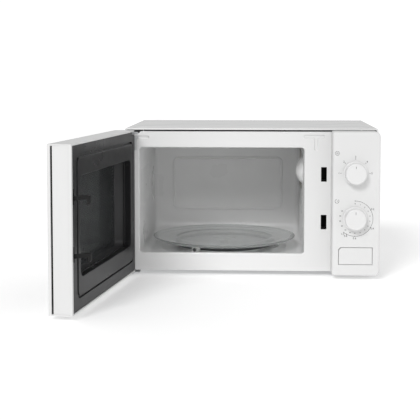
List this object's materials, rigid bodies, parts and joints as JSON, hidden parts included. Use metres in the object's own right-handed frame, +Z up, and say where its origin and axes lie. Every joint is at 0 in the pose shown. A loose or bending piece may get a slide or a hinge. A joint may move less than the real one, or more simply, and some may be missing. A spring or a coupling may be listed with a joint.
{
  "type": "microwave oven",
  "caption": "Countertop microwave oven with a side-hinged door standing open, a turntable cavity, two rotary knobs and a push button that opens the door.",
  "frame": {"origin": "middle of the footprint of the oven with its door open, on the surface it stands on", "axes": "+X to the right of someone facing the door, +Y to the rear, +Z up"},
  "size_m": [0.5206, 0.6664, 0.2658],
  "materials": {
    "white_paint": "smooth white enamel paint",
    "cavity_paint": "light grey baked enamel",
    "white_plastic": "satin white moulded plastic",
    "knob_plastic": "satin white moulded plastic",
    "choke_plastic": "charcoal moulded plastic",
    "screen_enamel": "black enamel on perforated steel",
    "window_tint": "dark tinted pane",
    "window_clear": "clear film pane",
    "turntable_glass": "clear pressed glass",
    "roller_ring_plastic": "dark grey moulded plastic",
    "roller_plastic": "white moulded plastic",
    "latch_black": "black moulded plastic",
    "zinc_steel": "zinc plated sheet steel",
    "spring_steel": "bare spring steel",
    "foot_rubber": "dark grey rubber",
    "motor_black": "black moulded plastic",
    "duct_plastic": "dark grey moulded plastic",
    "iron_core": "varnished laminated iron",
    "magnetron_metal": "bright pressed metal",
    "mica": "pale brown mica sheet",
    "board_green": "green circuit board",
    "lamp_glass": "clear bulb glass",
    "lamp_socket": "white ceramic socket"
  },
  "bodies": {
    "cabinet": {"outer_cover": "white_paint", "base_plate": "zinc_steel", "rear_panel": "zinc_steel", "front_plate": "white_paint", "cavity_shell": "cavity_paint", "control_panel": "white_plastic", "hinge_bracket_upper": "zinc_steel", "hinge_bracket_lower": "zinc_steel", "hinge_pin_upper": "zinc_steel", "hinge_pin_lower": "zinc_steel", "latch_board": "latch_black", "primary_switch": "motor_black", "secondary_switch": "motor_black", "monitor_switch": "motor_black", "timer_unit": "motor_black", "power_switch": "motor_black", "magnetron": "magnetron_metal", "waveguide": "zinc_steel", "waveguide_cover": "mica", "transformer": "iron_core", "capacitor": "magnetron_metal", "high_voltage_diode": "motor_black", "filter_board": "board_green", "thermal_cutout": "motor_black", "fan_shroud": "duct_plastic", "fan_motor": "iron_core", "air_duct": "duct_plastic", "cavity_lamp": "lamp_glass", "lamp_holder": "lamp_socket", "turntable_motor": "zinc_steel", "cord_gland": "motor_black", "button_spring": "spring_steel", "foot_front_left": "foot_rubber", "foot_front_right": "foot_rubber", "foot_rear_left": "foot_rubber", "foot_rear_right": "foot_rubber"},
    "door": {"door_frame": "white_plastic", "door_front_window": "window_tint", "door_screen": "screen_enamel", "inner_window": "window_clear", "choke_cover": "choke_plastic", "latch_spring": "spring_steel"},
    "door_latch": {"latch_hooks": "latch_black"},
    "open_button": {"open_button": "white_plastic"},
    "release_lever": {"release_lever": "white_plastic"},
    "power_knob": {"power_knob": "knob_plastic", "power_shaft": "spring_steel"},
    "timer_knob": {"timer_knob": "knob_plastic", "timer_shaft": "spring_steel"},
    "turntable": {"glass_plate": "turntable_glass", "drive_coupler": "roller_plastic"},
    "roller_ring": {"roller_ring": "roller_ring_plastic"},
    "roller_1": {"roller_1": "roller_plastic"},
    "roller_2": {"roller_2": "roller_plastic"},
    "roller_3": {"roller_3": "roller_plastic"},
    "fan_wheel": {"fan_wheel": "duct_plastic"}
  },
  "joints": [
    {"name": "door_hinge", "type": "hinge", "parent": "cabinet", "child": "door", "pos_m": [-0.18195, 0.02193, 0.13], "axis": [0, 0, -1], "range_deg": [-98.1, 4]},
    {"name": "latch_slide", "type": "slide", "parent": "door", "child": "door_latch", "axis": [0, 0, 1], "range_m": [-0.003, 0.002], "stiffness_N_per_m": 200, "deforming": ["latch_spring"]},
    {"name": "button_press", "type": "slide", "parent": "cabinet", "child": "open_button", "axis": [0, 1, 0], "range_m": [0, 0.005], "stiffness_N_per_m": 400, "deforming": ["button_spring"]},
    {"name": "lever_turn", "type": "hinge", "parent": "cabinet", "child": "release_lever", "pos_m": [0.18455, 0.01893, 0.074], "axis": [1, 0, 0], "range_deg": [0, 8]},
    {"name": "power_turn", "type": "hinge", "parent": "cabinet", "child": "power_knob", "pos_m": [0.21695, -0.00707, 0.1888], "axis": [0, 1, 0], "range_deg": [-90, 90]},
    {"name": "timer_turn", "type": "hinge", "parent": "cabinet", "child": "timer_knob", "pos_m": [0.21695, -0.00707, 0.1092], "axis": [0, 1, 0], "range_deg": [0, 300]},
    {"name": "turntable_spin", "type": "hinge", "parent": "cabinet", "child": "turntable", "pos_m": [-0.018, 0.17623, 0.05], "axis": [0, 0, 1], "continuous": true},
    {"name": "ring_spin", "type": "hinge", "parent": "cabinet", "child": "roller_ring", "pos_m": [-0.018, 0.17623, 0.0363], "axis": [0, 0, 1], "continuous": true},
    {"name": "roller_1_spin", "type": "hinge", "parent": "roller_ring", "child": "roller_1", "pos_m": [0.08199, 0.1771, 0.0363], "axis": [1, 0.0087, 0], "continuous": true},
    {"name": "roller_2_spin", "type": "hinge", "parent": "roller_ring", "child": "roller_2", "pos_m": [-0.06876, 0.26239, 0.0363], "axis": [-0.5075, 0.8616, 0], "continuous": true},
    {"name": "roller_3_spin", "type": "hinge", "parent": "roller_ring", "child": "roller_3", "pos_m": [-0.06724, 0.08919, 0.0363], "axis": [-0.4924, -0.8704, 0], "continuous": true},
    {"name": "fan_spin", "type": "hinge", "parent": "cabinet", "child": "fan_wheel", "pos_m": [0.20535, 0.31293, 0.158], "axis": [0, 1, 0], "continuous": true}
  ],
  "couplings": [
    {"joint": "lever_turn", "follows": "button_press", "rad_per_m": 27.7},
    {"joint": "ring_spin", "follows": "turntable_spin", "ratio": 0.5},
    {"joint": "roller_1_spin", "follows": "turntable_spin", "ratio": -7.1429},
    {"joint": "roller_2_spin", "follows": "turntable_spin", "ratio": -7.1429},
    {"joint": "roller_3_spin", "follows": "turntable_spin", "ratio": -7.1429}
  ]
}
